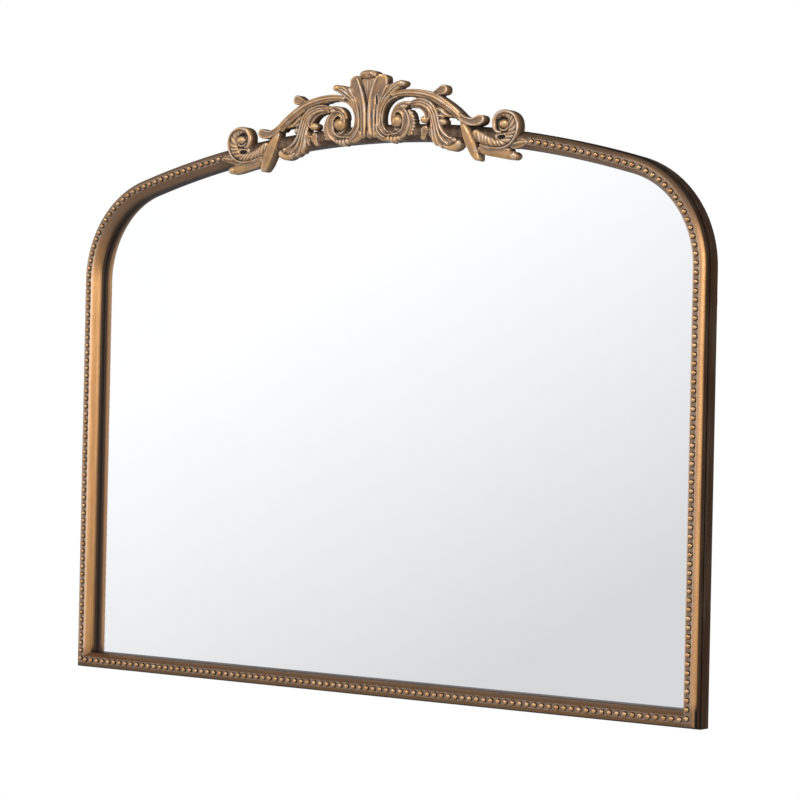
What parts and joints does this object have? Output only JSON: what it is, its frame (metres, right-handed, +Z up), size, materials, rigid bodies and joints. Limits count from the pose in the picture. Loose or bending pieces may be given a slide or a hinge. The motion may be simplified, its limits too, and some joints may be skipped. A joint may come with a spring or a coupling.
{
  "type": "arched wall mirror",
  "caption": "Wide arched wall mirror: a moulded, bead-trimmed frame with a pierced scroll-and-leaf crest round a silvered pane, closed by a backing board and hung by hinged strap hangers.",
  "frame": {"origin": "on the wall plane, midway between the hooks that the raised hanger rings hang on", "axes": "+X to the right of someone facing the mirror, +Y back into the wall, +Z up"},
  "size_m": [0.914, 0.0432, 0.7436],
  "materials": {
    "painted_frame": "moulded fibreboard, aged bronze-gold paint, rubbed on the edges",
    "painted_beading": "cast resin beads, bronze-gold paint worn on the tops",
    "painted_crest": "cast resin, bronze-gold paint, dark in the hollows",
    "mirror_pane": "silvered float glass",
    "back_panel": "raw fibreboard",
    "packing_sheet": "thin packing sheet behind the pane",
    "rubber": "black rubber",
    "joint_wood": "plain beech",
    "zinc_steel": "zinc plated"
  },
  "bodies": {
    "frame": {"frame_bottom_rail": "painted_frame", "frame_left_stile": "painted_frame", "frame_right_stile": "painted_frame", "frame_left_arch": "painted_frame", "frame_right_arch": "painted_frame", "bottom_beading": "painted_beading", "left_stile_beading": "painted_beading", "right_stile_beading": "painted_beading", "left_arch_beading": "painted_beading", "right_arch_beading": "painted_beading", "crest_palmette": "painted_crest", "crest_left_spray": "painted_crest", "crest_right_spray": "painted_crest", "mirror_glass": "mirror_pane", "backing_board": "back_panel", "glass_cushion_sheet": "packing_sheet", "glass_setting_blocks": "rubber", "wall_pads": "rubber", "mitre_splines": "joint_wood", "spring_dowels": "joint_wood", "crown_dowel": "joint_wood", "backing_screws": "zinc_steel", "hanger_screws": "zinc_steel", "left_hanger_strap": "zinc_steel", "right_hanger_strap": "zinc_steel", "crest_pins": "zinc_steel"},
    "left_ring": {"left_hanger_ring": "zinc_steel"},
    "right_ring": {"right_hanger_ring": "zinc_steel"}
  },
  "joints": [
    {"name": "left_ring_hinge", "type": "hinge", "parent": "frame", "child": "left_ring", "pos_m": [-0.447, -0.0034, -0.0147], "axis": [1, 0, 0], "range_deg": [0, 180]},
    {"name": "right_ring_hinge", "type": "hinge", "parent": "frame", "child": "right_ring", "pos_m": [0.447, -0.0034, -0.0147], "axis": [1, 0, 0], "range_deg": [0, 180]}
  ]
}
